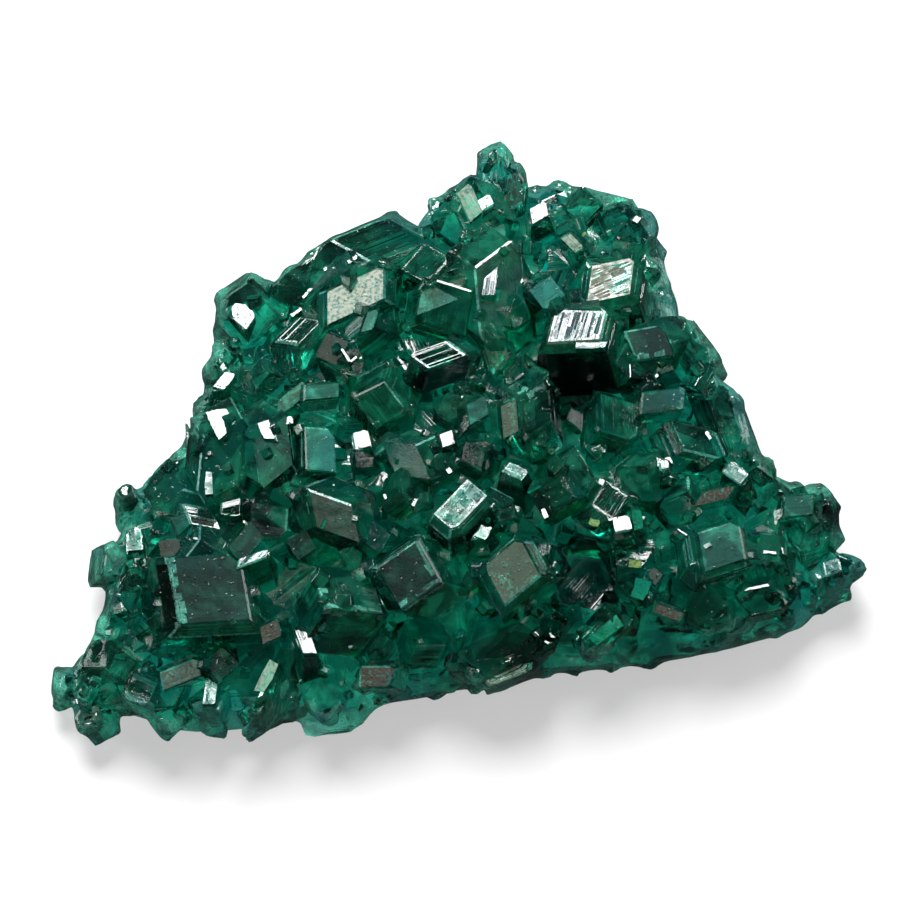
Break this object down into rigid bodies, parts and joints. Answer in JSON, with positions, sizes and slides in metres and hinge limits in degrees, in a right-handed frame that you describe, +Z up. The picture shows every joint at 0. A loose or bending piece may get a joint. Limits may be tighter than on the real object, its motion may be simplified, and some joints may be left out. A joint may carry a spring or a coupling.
{
  "type": "dioptase crystal specimen",
  "caption": "Cluster of intergrown emerald-green dioptase crystals on a low domed crust, broken off flat below so that it lies on a surface.",
  "frame": {"origin": "Under the middle of the specimen's bounding box, on the surface that it rests on.", "axes": "+X runs along the specimen's longest side, to the right in the picture. +Y runs across it, to the edge that is uppermost there. +Z is up from its broken underside, out of the crystal side, and is its shortest side."},
  "size_m": [0.0548, 0.0414, 0.0134],
  "materials": {
    "dioptase": "glossy crystal faces, some of them etched or striated"
  },
  "bodies": {
    "root": {"dioptase_crystals": "dioptase"}
  },
  "joints": []
}
